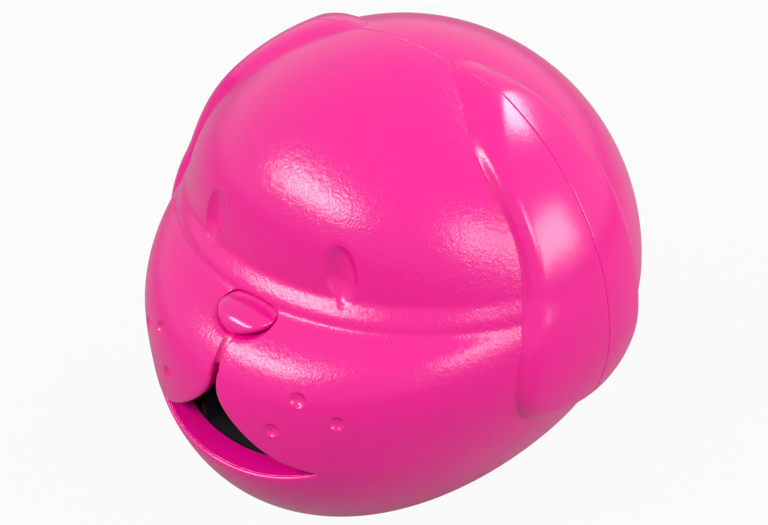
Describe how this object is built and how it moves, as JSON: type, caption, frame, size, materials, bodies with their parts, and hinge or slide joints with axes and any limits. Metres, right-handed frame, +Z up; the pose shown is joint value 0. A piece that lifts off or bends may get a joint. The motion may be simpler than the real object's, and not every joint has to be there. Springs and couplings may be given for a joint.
{
  "type": "treat dispenser",
  "caption": "Puppy-head treat dispenser: pressing the sprung nose swings a flap, and treats from the hopper slide down a chute and out of the mouth.",
  "frame": {"origin": "on the surface it stands on, below the middle of the head at the parting plane of the two shells", "axes": "+Z up, -Y the way the face looks, +X to the head's own left"},
  "size_m": [0.1216, 0.1264, 0.1146],
  "materials": {
    "pink_shell": "fine-textured moulded plastic, hot pink",
    "pink_nose": "polished moulded plastic, hot pink",
    "black_plastic": "plain moulded plastic, black",
    "white_acetal": "plain moulded acetal, natural white",
    "steel": "zinc-plated",
    "spring_steel": "bright spring wire",
    "ballast_iron": "as cast",
    "seal_rubber": "soft, black",
    "pad_rubber": "matte, black"
  },
  "bodies": {
    "housing": {"front_shell": "pink_shell", "rear_shell": "pink_shell", "nose_guide": "black_plastic", "guide_screws": "steel", "feed_chute": "black_plastic", "chute_screws": "steel", "flap_pin": "steel", "pin_clip": "spring_steel", "hopper": "black_plastic", "hopper_screws": "steel", "shell_screws": "steel", "door_hinge_pin": "steel", "base_plate": "black_plastic", "base_screws": "steel", "ballast_weight": "ballast_iron", "ballast_screw": "steel", "nonslip_pad": "pad_rubber", "nose_spring": "spring_steel"},
    "nose": {"nose_button": "pink_nose", "clevis_pin": "steel"},
    "flap": {"dispensing_flap": "white_acetal"},
    "door": {"fill_door": "pink_shell", "door_seal": "seal_rubber"}
  },
  "joints": [
    {"name": "nose_press", "type": "slide", "parent": "housing", "child": "nose", "axis": [0, 1, 0], "range_m": [0, 0.006], "stiffness_N_per_m": 500, "springref_m": -0.004, "deforming": ["nose_spring"]},
    {"name": "flap_swing", "type": "hinge", "parent": "housing", "child": "flap", "pos_m": [0, -0.0215, 0.0618], "axis": [-1, 0, 0], "range_deg": [0, 47.66]},
    {"name": "door_open", "type": "hinge", "parent": "housing", "child": "door", "pos_m": [0, 0.05622, 0.06873], "axis": [-1, 0, 0], "range_deg": [0, 100]}
  ],
  "couplings": [
    {"joint": "flap_swing", "follows": "nose_press", "rad_per_m": 138.5}
  ]
}
